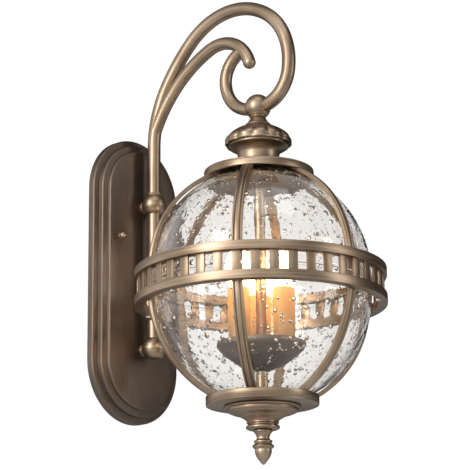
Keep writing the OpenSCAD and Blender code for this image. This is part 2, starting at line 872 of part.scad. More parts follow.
// Thicker tube that holds the dish up from below
module spacer() {
    color(bronze) at_lantern() translate([0, 0, dish_low - spacer_l]) difference() {
        cylinder(r = stem_r, h = spacer_l - seat);
        translate([0, 0, -cut]) cylinder(r = rod_r + seat, h = spacer_l + 2 * cut);
    }
}

// Threaded rod from the heat plate, through dish and lower cap, down into the finial
module tie_rod() {
    low = finial_z - finial_bore_l + 2;
    color(zinc) at_lantern() translate([0, 0, low]) cylinder(r = rod_r, h = heat_z - seat - low);
}

// A turned profile that starts at this height and grows downwards
module hung(z) {
    at_lantern() translate([0, 0, z]) mirror([0, 0, 1]) rotate_extrude() children();
}

// Turned moulding under the lower cap
module moulding() {
    h = moulding_h;
    disc_r = 44;
    disc_h = 6.2;
    rim_bead_r = 2.4;
    step_r = 40.6;
    step_h = 3;
    step_bead_r = 2.2;
    cove_r = 13;
    cove_h = 18.6;
    neck_r = 17.2;
    neck_bead_r = 1.8;
    foot_bead_r = 2.8;
    foot_bead_up = 3.5;
    color(bronze) hung(base_z - seat) difference() {
        union() {
            square([disc_r, rim_bead_r]);
            translate([disc_r, rim_bead_r]) circle(r = rim_bead_r);
            square([disc_r - 1.6, disc_h]);
            translate([step_r, disc_h]) circle(r = step_bead_r);
            translate([0, disc_h]) square([step_r - 2.6, step_h]);
            translate([0, disc_h - 0.2]) square([neck_r + cove_r, 12]);
            translate([0, disc_h - 0.2]) square([neck_r, h - disc_h + 0.2]);
            translate([neck_r, cove_h + 1]) circle(r = neck_bead_r);
            translate([neck_r, h - foot_bead_up]) circle(r = foot_bead_r);
            translate([0, h - foot_bead_up - 3]) square([neck_r, 5.8]);
        }
        translate([neck_r + cove_r + 4, cove_h]) circle(r = cove_r);
        translate([neck_r + cove_r, cove_h - 0.6]) square([disc_r, h]);
        translate([-disc_r, h]) square([3 * disc_r, h]);
        translate([-disc_r, -h]) square([3 * disc_r, h]);
        translate([-cut, -cut]) square([rod_r + loose + cut, h + 2 * cut]);
    }
}

// Turned finial that screws up under the moulding
module finial() {
    collar_r = 10;
    collar_bead_r = 1.4;
    waist_ring_r = 8.6;
    waist_bead_r = 2.4;
    waist_bead_z = 12.6;
    bulge_r = 9.8;
    bulge_bead_r = 3.2;
    bulge_bead_z = 19.4;
    color(bronze) hung(finial_z - 4 * seat) difference() {
        union() {
            square([collar_r, waist_bead_r]);
            translate([collar_r, collar_bead_r]) circle(r = collar_bead_r);
            square([collar_r - 2, 4]);
            square([collar_r - 2.6, waist_bead_z]);
            translate([waist_ring_r, waist_bead_z]) circle(r = waist_bead_r);
            translate([0, waist_bead_z - waist_bead_r]) square([waist_ring_r, 6]);
            translate([bulge_r, bulge_bead_z]) circle(r = bulge_bead_r);
            translate([0, bulge_bead_z - bulge_bead_r]) square([bulge_r, 2 * bulge_bead_r]);
            polygon([
                [0, 20],
                [bulge_r, 22],
                [bulge_r + 0.2, 24],
                [bulge_r - 0.4, 28],
                [bulge_r - 2.2, 32.4],
                [5, 36.6],
                [2, finial_l - 0.8],
                [0, finial_l]
            ]);
        }
        translate([-cut, -cut]) square([rod_r + loose + cut, finial_bore_l + cut]);
        translate([-bulge_r, -cut]) square([bulge_r, finial_l + 2 * cut]);
        translate([-cut, -finial_l]) square([2 * bulge_r, finial_l]);
    }
}

strap();
mounting_studs();
cap_nuts();
earth_screw();
gasket();
backplate();
upper_stub();
lower_stub();
fixing_bolts();
post();
upper_barrel();
lower_ball();
arm();
scroll();
curl();
hub_ball();
hanger_tube();
bell_collar();
scalloped_cap();
waist();
top_cap();
heat_plate();
upper_rail();
slat_ring();
lower_rail();
rail_screws();
upper_glass();
lower_glass();
for (i = [1 : rib_n]) upper_rib(i);
for (i = [1 : rib_n]) lower_rib(i);
dish();
dish_cover();
for (i = [1 : candle_n]) candle_sleeve(i);
for (i = [1 : candle_n]) lampholder(i);
for (i = [1 : candle_n]) bulb_cap(i);
for (i = [1 : candle_n]) bulb(i);
centre_tube();
spacer();
tie_rod();
bottom_cap();
moulding();
finial();
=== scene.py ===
import math
import random

import bmesh
import bpy
from mathutils import Matrix, Vector


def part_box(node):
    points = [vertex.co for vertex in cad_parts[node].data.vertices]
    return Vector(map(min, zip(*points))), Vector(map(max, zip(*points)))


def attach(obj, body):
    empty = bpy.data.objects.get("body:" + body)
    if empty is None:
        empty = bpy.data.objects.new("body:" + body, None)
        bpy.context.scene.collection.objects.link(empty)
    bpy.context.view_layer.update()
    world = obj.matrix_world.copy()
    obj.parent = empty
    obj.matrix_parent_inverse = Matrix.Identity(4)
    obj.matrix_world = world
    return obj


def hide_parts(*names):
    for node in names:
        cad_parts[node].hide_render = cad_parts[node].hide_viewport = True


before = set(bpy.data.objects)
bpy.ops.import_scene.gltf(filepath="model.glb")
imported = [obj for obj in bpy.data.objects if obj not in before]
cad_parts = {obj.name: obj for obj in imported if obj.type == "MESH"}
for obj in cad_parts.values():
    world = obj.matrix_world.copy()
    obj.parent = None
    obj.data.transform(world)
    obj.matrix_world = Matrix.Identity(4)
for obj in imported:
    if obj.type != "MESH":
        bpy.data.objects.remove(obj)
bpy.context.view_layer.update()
MM = 0.001
ring_low, ring_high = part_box("slat_ring")
AXIS_Y = (ring_low.y + ring_high.y) / 2
BAND_Z = (ring_low.z + ring_high.z) / 2


# --- The room ------------------------------------------------------------------------------
# The lantern is looked up at from its left on a long lens, in a white studio with a pale
# floor well below it. Tall soft boxes light the front of the metal, and the white wall
# behind shows in the left edges of round metal, while their right edges reflect the dark.
def studio_camera():
    data = bpy.data.cameras.new("camera")
    data.lens = 129.55
    data.sensor_width = 36.0
    camera = bpy.data.objects.new("camera", data)
    bpy.context.scene.collection.objects.link(camera)
    yaw = math.radians(-48.142)
    pitch = math.radians(-15.111)
    roll = math.radians(-0.695)
    back = Vector((math.sin(yaw) * math.cos(pitch),
                   -math.cos(yaw) * math.cos(pitch),
                   math.sin(pitch)))
    right = Vector((math.cos(yaw), math.sin(yaw), 0))
    up = back.cross(right)
    turned_right = math.cos(roll) * right + math.sin(roll) * up
    turned_up = math.cos(roll) * up - math.sin(roll) * right
    place = Matrix((turned_right, turned_up, back)).transposed().to_4x4()
    place.translation = Vector((-1.50091, -1.52881, BAND_Z - 0.46877))
    camera.matrix_world = place
    bpy.context.scene.camera = camera


def soft_box(name, place, aim, size, power, colour):
    data = bpy.data.lights.new(name, "AREA")
    data.shape = "RECTANGLE"
    data.size, data.size_y = size
    data.energy = power
    data.color = colour
    lamp = bpy.data.objects.new(name, data)
    bpy.context.scene.collection.objects.link(lamp)
    lamp.location = place
    lamp.rotation_euler = (Vector(aim) - Vector(place)).to_track_quat("-Z", "Y").to_euler()


def pale_room():
    world = bpy.data.worlds.new("pale room")
    bpy.context.scene.world = world
    world.use_nodes = True
    tree = world.node_tree
    tree.nodes.clear()
    link = tree.links.new
    out = tree.nodes.new("ShaderNodeOutputWorld")

    def glow(strength):
        made = tree.nodes.new("ShaderNodeBackground")
        made.inputs["Color"].default_value = (1, 1, 1, 1)
        made.inputs["Strength"].default_value = strength
        return made

    backdrop = glow(1.05)
    through_glass = glow(0.92)
    fill = glow(0.40)
    reflected = glow(1.0)
    where = tree.nodes.new("ShaderNodeTexCoord")
    front = tree.nodes.new("ShaderNodeVectorMath")
    front.operation = "DOT_PRODUCT"
    front.inputs[1].default_value = (-0.97, -0.20, 0.10)
    level = tree.nodes.new("ShaderNodeMapRange")
    level.inputs["From Min"].default_value = -1
    patches = tree.nodes.new("ShaderNodeTexNoise")
    patches.inputs["Scale"].default_value = 1.7
    patches.inputs["Detail"].default_value = 1.0
    uneven = tree.nodes.new("ShaderNodeMath")
    uneven.operation = "MULTIPLY_ADD"
    uneven.inputs[1].default_value = 0.36
    uneven.inputs[2].default_value = -0.18
    total = tree.nodes.new("ShaderNodeMath")
    total.operation = "ADD"
    behind = tree.nodes.new("ShaderNodeVectorMath")
    behind.operation = "DOT_PRODUCT"
    behind.inputs[1].default_value = (-0.45, 0.88, 0.12)
    wall_level = tree.nodes.new("ShaderNodeMapRange")
    wall_level.inputs["From Min"].default_value = 0.15
    wall_level.inputs["To Max"].default_value = 0.93
    brighter = tree.nodes.new("ShaderNodeMath")
    brighter.operation = "MAXIMUM"
    ramp = tree.nodes.new("ShaderNodeValToRGB")
    stops = [(0.25, 0.05), (0.60, 0.20), (0.84, 0.72), (1.0, 1.7)]
    while len(ramp.color_ramp.elements) < len(stops):
        ramp.color_ramp.elements.new(0.5)
    for element, (at, value) in zip(ramp.color_ramp.elements, stops):
        element.position = at
        element.color = (value, value * 0.975, value * 0.94, 1)
    seen = tree.nodes.new("ShaderNodeLightPath")

    def choose(kind, other, mine):
        mix = tree.nodes.new("ShaderNodeMixShader")
        link(seen.outputs[kind], mix.inputs["Fac"])
        link(other.outputs[0], mix.inputs[1])
        link(mine.outputs[0], mix.inputs[2])
        return mix

    link(where.outputs["Generated"], front.inputs[0])
    link(front.outputs["Value"], level.inputs["Value"])
    link(where.outputs["Generated"], patches.inputs["Vector"])
    link(patches.outputs["Fac"], uneven.inputs[0])
    link(level.outputs[0], total.inputs[0])
    link(uneven.outputs[0], total.inputs[1])
    link(where.outputs["Generated"], behind.inputs[0])
    link(behind.outputs["Value"], wall_level.inputs["Value"])
    link(total.outputs[0], brighter.inputs[0])
    link(wall_level.outputs[0], brighter.inputs[1])
    link(brighter.outputs[0], ramp.inputs["Fac"])
    link(ramp.outputs["Color"], reflected.inputs["Color"])
    mixed = choose("Is Glossy Ray", fill, reflected)
    mixed = choose("Is Transmission Ray", mixed, through_glass)
    mixed = choose("Is Camera Ray", mixed, backdrop)
    link(mixed.outputs[0], out.inputs["Surface"])


def pale_floor():
    mesh = bpy.data.meshes.new("floor")
    shape = bmesh.new()
    bmesh.ops.create_grid(shape, x_segments=1, y_segments=1, size=6.0)
    bmesh.ops.translate(shape, vec=(0, 0, -0.95), verts=shape.verts)
    shape.to_mesh(mesh)
    shape.free()
    floor = bpy.data.objects.new("floor", mesh)
    bpy.context.scene.collection.objects.link(floor)
    paint = bpy.data.materials.new("pale floor")
    paint.use_nodes = True
    skin = paint.node_tree.nodes["Principled BSDF"]
    skin.inputs["Base Color"].default_value = (0.82, 0.82, 0.81, 1)
    skin.inputs["Roughness"].default_value = 0.8
    mesh.materials.append(paint)


bpy.context.scene.view_settings.view_transform = "Standard"
studio_camera()
pale_room()
pale_floor()
soft_box("left_soft_box", (-2.4, -0.1, 0.6), (0, -0.2, 0), (0.8, 1.8), 30, (1, 0.98, 0.95))
soft_box("right_soft_box", (1.0, -2.5, 0.4), (0, -0.2, 0), (0.6, 1.6), 11, (1, 0.97, 0.93))
soft_box("top_soft_box", (-0.3, -0.8, 1.8), (0, -0.2, 0), (1.2, 1.2), 6, (1, 1, 1))


# --- Wall strap, studs, bolts and earth screw ----------------------------------------------
# A zinc-plated steel strap screws to the outlet box; two threaded studs stand out of it and
# two bolts hold the post's ball fittings. Drawn steel with a faint plated bloom.
def new_finish(name):
    made = bpy.data.materials.new(name)
    made.use_nodes = True
    return made, made.node_tree, made.node_tree.nodes["Principled BSDF"]


def blotches(tree, scale, stretch=(1, 1, 1), detail=3.0, along=None):
    """Noise in the piece's own coordinates, or in its 'along' layer, where x runs lengthwise."""
    where = tree.nodes.new("ShaderNodeTexCoord")
    source = where.outputs["Object"]
    if along:
        layer = tree.nodes.new("ShaderNodeUVMap")
        layer.uv_map = along
        source = layer.outputs["UV"]
    place = tree.nodes.new("ShaderNodeMapping")
    place.inputs["Scale"].default_value = stretch
    noise = tree.nodes.new("ShaderNodeTexNoise")
    noise.inputs["Scale"].default_value = scale
    noise.inputs["Detail"].default_value = detail
    tree.links.new(source, place.inputs["Vector"])
    tree.links.new(place.outputs["Vector"], noise.inputs["Vector"])
    return noise.outputs["Fac"]


def shades(tree, amount, stops):
    ramp = tree.nodes.new("ShaderNodeValToRGB")
    while len(ramp.color_ramp.elements) < len(stops):
        ramp.color_ramp.elements.new(0.5)
    for element, (at, colour) in zip(ramp.color_ramp.elements, stops):
        element.position = at
        element.color = (*colour, 1)
    tree.links.new(amount, ramp.inputs["Fac"])
    return ramp.outputs["Color"]


def spread(tree, amount, low, high):
    between = tree.nodes.new("ShaderNodeMapRange")
    between.inputs["To Min"].default_value = low
    between.inputs["To Max"].default_value = high
    tree.links.new(amount, between.inputs["Value"])
    return between.outputs[0]


def raised_by(tree, skin, height, strength, depth):
    bump = tree.nodes.new("ShaderNodeBump")
    bump.inputs["Strength"].default_value = strength
    bump.inputs["Distance"].default_value = depth
    tree.links.new(height, bump.inputs["Height"])
    tree.links.new(bump.outputs[0], skin.inputs["Normal"])


def plated(name, dark, pale, metal=1.0, rough=0.3):
    made, tree, skin = new_finish(name)
    bloom = blotches(tree, 180, (1, 1, 0.3))
    tree.links.new(shades(tree, bloom, [(0.35, dark), (0.65, pale)]), skin.inputs["Base Color"])
    tree.links.new(spread(tree, bloom, rough - 0.08, rough + 0.12), skin.inputs["Roughness"])
    skin.inputs["Metallic"].default_value = metal
    raised_by(tree, skin, bloom, 0.15, 0.0003)
    return made


def dress(material, *nodes):
    for node in nodes:
        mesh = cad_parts[node].data
        mesh.materials.clear()
        mesh.materials.append(material)


zinc = plated("zinc plate", (0.48, 0.48, 0.47), (0.68, 0.69, 0.70))
dress(zinc, "strap", "mounting_studs", "fixing_bolts", "hanger_tube", "rail_screws")
dress(plated("green screw", (0.03, 0.15, 0.06), (0.06, 0.26, 0.10), 0.4, 0.4), "earth_screw")


# --- Foam gasket ---------------------------------------------------------------------------
# A ring of black closed-cell foam, cut from sheet. It is pressed between the backplate's
# rim and the wall and keeps the rain out of the outlet box.
def foam():
    made, tree, skin = new_finish("black foam")
    cells = blotches(tree, 900, (1, 1, 1), 2)
    tree.links.new(shades(tree, cells, [(0.4, (0.012, 0.012, 0.012)), (0.6, (0.04, 0.04, 0.04))]),
                   skin.inputs["Base Color"])
    skin.inputs["Roughness"].default_value = 0.92
    raised_by(tree, skin, cells, 0.6, 0.0004)
    return made


dress(foam(), "gasket")


# --- Backplate -----------------------------------------------------------------------------
# A stepped oval casting, hollow behind, in bronze painted darker than the arm as painted shade.
# It is brushed along its length, and its steps have soft rounded lips and coved roots.
def brushed_bronze(name, tones, stretch, fineness=60, rough=0.34, along=None):
    """Bronze paint rubbed with wire wool: fine streaks one way, broad cloudy toning over them, and painted
    shade darkening it towards the edges where it turns from view.
    """
    made, tree, skin = new_finish(name)
    link = tree.links.new
    brush = blotches(tree, fineness, stretch, 5, along)
    cloud = blotches(tree, 16, (1, 1, 1), 2)
    half = tree.nodes.new("ShaderNodeMath")
    half.operation = "MULTIPLY"
    half.inputs[1].default_value = 0.5
    both = tree.nodes.new("ShaderNodeMath")
    both.operation = "MULTIPLY_ADD"
    both.inputs[1].default_value = 0.5
    link(cloud, half.inputs[0])
    link(brush, both.inputs[0])
    link(half.outputs[0], both.inputs[2])
    colour = shades(tree, both.outputs[0], [(0.34, tones[0]), (0.5, tones[1]), (0.66, tones[2])])
    # Painted shade: the colour is multiplied darker towards the edges as the surface turns away from view.
    edge = tree.nodes.new("ShaderNodeLayerWeight")
    edge.inputs["Blend"].default_value = 0.30
    painted_edge_shade = tree.nodes.new("ShaderNodeMix")
    painted_edge_shade.data_type = "RGBA"
    painted_edge_shade.blend_type = "MULTIPLY"
    painted_edge_shade.inputs["B"].default_value = (0.30, 0.26, 0.23, 1)
    link(edge.outputs["Facing"], painted_edge_shade.inputs["Factor"])
    link(colour, painted_edge_shade.inputs["A"])
    link(painted_edge_shade.outputs["Result"], skin.inputs["Base Color"])
    link(spread(tree, brush, rough - 0.05, rough + 0.12), skin.inputs["Roughness"])
    skin.inputs["Metallic"].default_value = 0.92
    raised_by(tree, skin, brush, 0.10, 0.0003)
    return made


def finished(shape, name, material, body, *nodes, crease=35, smooth=True):
    bmesh.ops.remove_doubles(shape, verts=shape.verts, dist=0.000002)
    bmesh.ops.recalc_face_normals(shape, faces=shape.faces)
    mesh = bpy.data.meshes.new(name)
    shape.to_mesh(mesh)
    shape.free()
    mesh.materials.append(material)
    if smooth:
        mesh.shade_smooth()
        mesh.set_sharp_from_angle(angle=math.radians(crease))
    piece = bpy.data.objects.new(name, mesh)
    bpy.context.scene.collection.objects.link(piece)
    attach(piece, body)
    if nodes:
        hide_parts(*nodes)
    return piece


def skinned(rings, cap_ends=True, joined_up=False):
    """A skin over a row of closed rings of points in metres, with an 'along' layer of lengths."""
    shape = bmesh.new()
    layer = shape.loops.layers.uv.new("along")
    rows = [[shape.verts.new(p) for p in ring] for ring in rings]
    lengths = [0.0]
    for low, high in zip(rings, rings[1:]):
        lengths.append(lengths[-1] + (Vector(high[0]) - Vector(low[0])).length)
    count = len(rows[0])
    round_l = sum((Vector(rings[0][k]) - Vector(rings[0][k - 1])).length for k in range(count))
    pairs = list(zip(range(len(rows)), range(1, len(rows))))
    if joined_up:
        pairs.append((len(rows) - 1, 0))
    for low, high in pairs:
        far = lengths[high] if high else lengths[-1] + 0.001
        for k in range(count):
            after = (k + 1) % count
            face = shape.faces.new((rows[low][k], rows[low][after], rows[high][after], rows[high][k]))
            across = (k / count * round_l, (k + 1) / count * round_l)
            near = lengths[low]
            marks = ((near, across[0]), (near, across[1]), (far, across[1]), (far, across[0]))
            for corner, mark in zip(face.loops, marks):
                corner[layer].uv = mark
    if cap_ends and not joined_up:
        shape.faces.new(list(reversed(rows[0])))
        shape.faces.new(rows[-1])
    return shape


# Darker tones than the arm's bronze: painted shade for the plate behind the post and arm.
shaded_plate_tones = ((0.165, 0.125, 0.100), (0.205, 0.160, 0.130), (0.25, 0.200, 0.165))
shaded_plate_bronze = brushed_bronze("painted shade plate bronze", shaded_plate_tones, (9, 9, 0.35), 90, 0.40)

PLATE_W = 152
PLATE_STRAIGHT = 224
PLATE_MID = -47
PLATE_WALL = 2.5
GASKET_T = 1.5
STEP_IN = 8.5
STEP_TOPS = (11.5, 19.0, 24.0)


def oval_ring(inset, out):
    """Stadium outline standing on end, set in from the plate's edge and out from the wall."""
    r = PLATE_W / 2 - inset
    ring = []
    for end, first in ((1, 0), (-1, 180)):
        for k in range(33):
            t = math.radians(first + 180 * k / 32)
            middle = PLATE_MID + end * PLATE_STRAIGHT / 2
            ring.append(Vector((r * math.cos(t), -out, middle + r * math.sin(t))) * MM)
    return ring


def plate_profile():
    """From the rim at the wall, up over the three steps, as (inset, out from the wall)."""
    lip = 2.2
    points = [(0, GASKET_T)]
    for tier, top in enumerate(STEP_TOPS):
        edge = tier * STEP_IN
        for k in range(7):
            t = math.radians(90 * k / 6)
            points.append((edge + lip - lip * math.cos(t), top - lip + lip * math.sin(t)))
        if tier < 2:
            points.append((edge + STEP_IN - 0.9, top))
            points.append((edge + STEP_IN - 0.2, top + 0.3))
            points.append((edge + STEP_IN, top + 1.0))
    points.append((30, STEP_TOPS[2]))
    points.append((60, STEP_TOPS[2]))
    return points


def plate_back():
    """The hollow's walls, from the middle of its face back to the rim."""
    points = [(60, STEP_TOPS[2] - PLATE_WALL)]
    for tier in (2, 1, 0):
        edge = tier * STEP_IN + PLATE_WALL
        points.append((edge, STEP_TOPS[tier] - PLATE_WALL))
        points.append((edge, (STEP_TOPS[tier - 1] - PLATE_WALL) if tier else GASKET_T))
    return points


def absorb(shape, other):
    """Takes another shape's faces into this one."""
    spare = bpy.data.meshes.new("spare")
    other.to_mesh(spare)
    other.free()
    shape.from_mesh(spare)
    bpy.data.meshes.remove(spare)


rows = [oval_ring(*p) for p in plate_profile()]
face = skinned(rows, cap_ends=False)
face.faces.new(face.verts[-len(rows[0]):])
inside = skinned([oval_ring(*p) for p in plate_back()], cap_ends=False)
inside.faces.new(inside.verts[:len(rows[0])])
absorb(face, inside)
face.verts.ensure_lookup_table()
count = len(rows[0])
outer_rim = face.verts[:count]
inner_rim = face.verts[-count:]
for k in range(count):
    after = (k + 1) % count
    face.faces.new((outer_rim[k], outer_rim[after], inner_rim[after], inner_rim[k]))
finished(face, "backplate_casting", shaded_plate_bronze, "lantern", "backplate", crease=40)
dress(shaded_plate_bronze, "backplate")


# --- Turned stubs, ball fittings, post and nuts --------------------------------------------
# Turned parts in brushed bronze: the brush marks run round them. The post is drawn tube,
# rubbed along its length like the arm.
bronze_tones = ((0.24, 0.170, 0.115), (0.41, 0.308, 0.218), (0.58, 0.455, 0.340))
round_bronze = brushed_bronze("round brushed bronze", bronze_tones, (0.3, 0.3, 9), 45)
bar_bronze = brushed_bronze("bar brushed bronze", bronze_tones, (0.5, 16, 1), 30, 0.33, "along")
dress(round_bronze, "upper_stub", "lower_stub", "upper_barrel", "lower_ball", "cap_nuts")

POST_OUT = 43.7
TUBE_R = 8.5
UPPER_Z = 47.5
LOWER_Z = -141.5
BALL_R = 15.5
BALL_FLAT = 12.9
STUD_SIDE = 47


def spun(outline, steps=96):
    """A shape spun from (radius, height) pairs in millimetres about an upright axis."""
    shape = bmesh.new()
    points = [shape.verts.new((r * MM, 0, z * MM)) for r, z in outline]
    edges = [shape.edges.new(pair) for pair in zip(points, points[1:])]
    bmesh.ops.spin(shape, geom=points + edges, cent=(0, 0, 0), axis=(0, 0, 1),
                   angle=math.tau, steps=steps, use_merge=True)
    bmesh.ops.remove_doubles(shape, verts=shape.verts, dist=0.000002)
    return shape


def arc(r, z, radius, start, stop, steps=8):
    """Points on an arc in the (radius, height) plane, angles in degrees from straight out."""
    return [(r + radius * math.cos(math.radians(start + (stop - start) * k / steps)),
             z + radius * math.sin(math.radians(start + (stop - start) * k / steps)))
            for k in range(steps + 1)]


def moved(shape, x, y, z):
    bmesh.ops.translate(shape, vec=(x * MM, y * MM, z * MM), verts=shape.verts)
    return shape


def tube(start, stop, radius, sides=40):
    """Straight round bar between two (out from the wall, height) points."""
    first = Vector((0, -start[0], start[1]))
    last = Vector((0, -stop[0], stop[1]))
    run = (last - first).normalized()
    side = Vector((1, 0, 0))
    other = run.cross(side)
    rings = []
    for at in (first, last):
        turns = [math.tau * k / sides for k in range(sides)]
        rings.append([(at + radius * (math.cos(t) * side + math.sin(t) * other)) * MM for t in turns])
    return skinned(rings)


def faced_out(shape):
    """Turns a shape made upright so that its top points away from the wall."""
    quarter = Matrix.Rotation(math.radians(90), 3, "X")
    bmesh.ops.rotate(shape, cent=(0, 0, 0), matrix=quarter, verts=shape.verts)
    return shape


def ball_fitting(name, node, level, collar):
    """A ball with a flat under it, and either a flat or a beaded socket on top."""
    low = math.degrees(math.asin(BALL_FLAT / BALL_R))
    outline = [(0, -BALL_FLAT)] + arc(0, 0, BALL_R, -low, 45 if collar else low, 30)
    if collar:
        outline += [(10.2, 11.6), (10.0, 12.6)] + arc(9.5, 13.9, 1.3, -70, 110, 8) + [(TUBE_R, 15.1)]
    outline += [(0, outline[-1][1])]
    finished(moved(spun(outline, 64), 0, -POST_OUT, level), name, round_bronze, "lantern", node)


def stub(name, node, level):
    """Turned stub between the plate and a ball: foot, two beads and a plain neck."""
    outline = [(0, 0), (7.6, 0), (7.6, 0.9), (6.6, 1.5)] + arc(6.3, 2.7, 1.4, -70, 70, 6)
    outline += [(6.0, 4.2)] + arc(6.0, 5.5, 1.3, -70, 70, 6) + [(5.7, 6.8), (5.7, 8.0), (0, 8.0)]
    shape = moved(faced_out(spun(outline, 48)), 0, -STEP_TOPS[2], level)
    finished(shape, name, round_bronze, "lantern", node)


def acorn_nut(side):
    """Cap nut on a stud: a short barrel under a round head."""
    outline = [(0, 0), (3.9, 0), (3.9, 6.6), (4.4, 7.4)]
    outline += arc(0, 11, 4.6, -38, 89, 12) + [(0, 15.6)]
    return moved(faced_out(spun(outline, 32)), side, -STEP_TOPS[2], 0)


ball_fitting("upper_ball_fitting", "upper_barrel", UPPER_Z, True)
ball_fitting("lower_ball_fitting", "lower_ball", LOWER_Z, False)
stub("upper_turned_stub", "upper_stub", UPPER_Z)
stub("lower_turned_stub", "lower_stub", LOWER_Z)
post_foot = (POST_OUT, LOWER_Z + BALL_FLAT)
post_head = (POST_OUT, UPPER_Z - BALL_FLAT)
finished(tube(post_foot, post_head, TUBE_R), "post_tube", bar_bronze, "lantern", "post")
nuts = acorn_nut(-STUD_SIDE)
second = acorn_nut(STUD_SIDE)
absorb(nuts, second)
finished(nuts, "acorn_nuts", round_bronze, "lantern", "cap_nuts")


# --- Arm, scroll and curl ------------------------------------------------------------------
# Bent bronze bar in one upright plane: the arm sweeps from the post to the hub, the scroll
# leaves it low down and ends in a round nose, and the curl closes the figure at the hub.
AXIS_OUT = -AXIS_Y / MM
BENDS_REACH = 180.9
ARM_SCALE = (AXIS_OUT - POST_OUT) / BENDS_REACH
ARM_START = 124.8
SCROLL_R = 8.1
CURL_R = 7.9


def left_of(heading):
    t = math.radians(heading)
    return Vector((-math.sin(t), math.cos(t)))


def bent_path(start, heading, bends):
    """Points and headings along a chain of bends, each (radius, degrees), turning right."""
    points = [(Vector(start), heading)]
    at = Vector(start)
    for radius, turn in bends:
        centre = at - radius * left_of(heading)
        steps = max(4, round(turn / 2.5))
        for k in range(1, steps + 1):
            now = heading - turn * k / steps
            points.append((centre + radius * left_of(now), now))
        at = points[-1][0]
        heading -= turn
    return points


def bent_bar(path, radius, nose=False, sides=36):
    """Round bar along a path in the arm's plane, with a round nose if asked."""
    def ring(spot, heading, size):
        side = left_of(heading)
        made = []
        for k in range(sides):
            t = math.tau * k / sides
            flat = spot + size * math.sin(t) * side
            made.append(Vector((-size * math.cos(t), -flat.x, flat.y)) * MM)
        return made
    rings = [ring(spot, heading, radius) for spot, heading in path]
    if nose:
        spot, heading = path[-1]
        run = Vector((math.cos(math.radians(heading)), math.sin(math.radians(heading))))
        for k in range(1, 10):
            t = math.radians(88 * k / 9)
            rings.append(ring(spot + run * radius * math.sin(t), heading, radius * math.cos(t)))
    return skinned(rings)


def scaled(bends):
    return [(radius * ARM_SCALE, turn) for radius, turn in bends]


arm_bends = [(144, 33.2), (233, 16.3), (104.6, 79.1), (85.9, 60.7), (44.4, 89.5)]
arm_path = bent_path((POST_OUT, ARM_START), 90, scaled(arm_bends))
HUB_Z = arm_path[-1][0].y
arm_path.insert(0, (Vector((POST_OUT, UPPER_Z + 10)), 90))
finished(bent_bar(arm_path, TUBE_R), "arm_bar", bar_bronze, "lantern", "arm")
scroll_start = (POST_OUT + 1.1 * ARM_SCALE, ARM_START + 19.4 * ARM_SCALE)
scroll_path = bent_path(scroll_start, 65.1, scaled([(174.3, 45.2), (52.5, 93.3)]))
finished(bent_bar(scroll_path, SCROLL_R, nose=True), "scroll_bar", bar_bronze, "lantern", "scroll")
curl_path = bent_path((AXIS_OUT, HUB_Z + 0.6), 188.4, scaled([(46.4, 93.3), (36, 85.5)]))
finished(bent_bar(curl_path, CURL_R), "curl_bar", bar_bronze, "lantern", "curl")


# --- Hub ball and the caps over the globe --------------------------------------------------
# Turned and cast parts stacked on the hanging tube: hub ball, necked collar, fluted cap,
# coved waist and the rimmed top cap, all rubbed round their axis.
def hang(shape):
    """Moves a shape made about the origin onto the lantern's axis, zero at the band's middle."""
    bmesh.ops.translate(shape, vec=(0, AXIS_Y, BAND_Z), verts=shape.verts)
    return shape


def turned(name, outline, material, body, node, steps=96, crease=35):
    return finished(hang(spun(outline, steps)), name, material, body, node, crease=crease)


HUB_R = 16.2
HUB_FLAT_DOWN = 13.6
RIB_R = 140.45
RIM_R = 67.5
UPPER_OFFSET = 15.3
LOWER_OFFSET = 8.1
RIM_EDGE_RISE = round(math.sqrt(RIB_R ** 2 - (RIM_R + 0.6) ** 2), 2)
TOP_RIM_H = 9.5
CAP_WALL = 2.6
CAP_BORE_R = 5
HUB_UP = HUB_Z - BAND_Z / MM
RIM_LOW = UPPER_OFFSET + RIM_EDGE_RISE
FACE_UP = RIM_LOW + TOP_RIM_H
WAIST_UP = FACE_UP + 6
CROWN_UP = WAIST_UP + 27
BELL_UP = CROWN_UP + 27


def raised(outline, foot):
    """A spun outline whose heights are given from its own foot."""
    return [(r, foot + z) for r, z in outline]


hub_outline = [(0, HUB_UP - HUB_FLAT_DOWN), (8.6, HUB_UP - HUB_FLAT_DOWN)]
hub_outline += arc(0, HUB_UP, HUB_R, -57, 89, 28) + [(0, HUB_UP + HUB_R)]
turned("hub_sphere", hub_outline, round_bronze, "lantern", "hub_ball", 64)
collar_outline = [(0, 0), (16.0, 0), (16.2, 0.7), (15.6, 1.5), (14.2, 2.7), (12.4, 4.8), (11.0, 7.2)]
collar_outline += [(10.0, 8.8), (9.1, 9.8), (9.0, 10.4)] + arc(8.7, 11.7, 1.5, -60, 60, 6)
collar_outline += [(8.9, 12.2), (0, 12.2)]
turned("necked_collar", raised(collar_outline, BELL_UP), round_bronze, "lantern", "bell_collar", 64)


def fluted_cap():
    """Cast dome of twelve broad flutes that end in a scalloped edge, hollow under its lip."""
    lobes = 12
    sides = lobes * 14
    dome = [(15.6, 27.0, 0.0), (17.5, 25.6, 0.02), (22.0, 23.6, 0.3), (27.5, 21.0, 0.8),
            (32.5, 17.8, 1.4), (36.6, 14.6, 2.1), (39.6, 11.6, 2.8), (41.1, 8.8, 3.0)]
    lip = [(41.5, 6.6, 2.8), (41.0, 5.0, 2.4), (41.4, 4.0, 2.2), (41.4, 2.2, 2.0), (40.6, 1.2, 1.8),
           (39.6, 1.6, 1.4), (38.4, 3.2, 0.8), (37.2, 4.0, 0.2), (30.0, 4.0, 0.0)]
    rings = []
    for r, z, depth in dome + lip:
        ring = []
        for k in range(sides):
            t = math.tau * k / sides
            valley = 1 - abs(math.cos(lobes / 2 * (t - math.pi / lobes))) ** 0.75
            out = r - depth * valley
            ring.append(Vector((out * math.cos(t), out * math.sin(t), CROWN_UP + z)) * MM)
        rings.append(ring)
    return hang(skinned(rings))


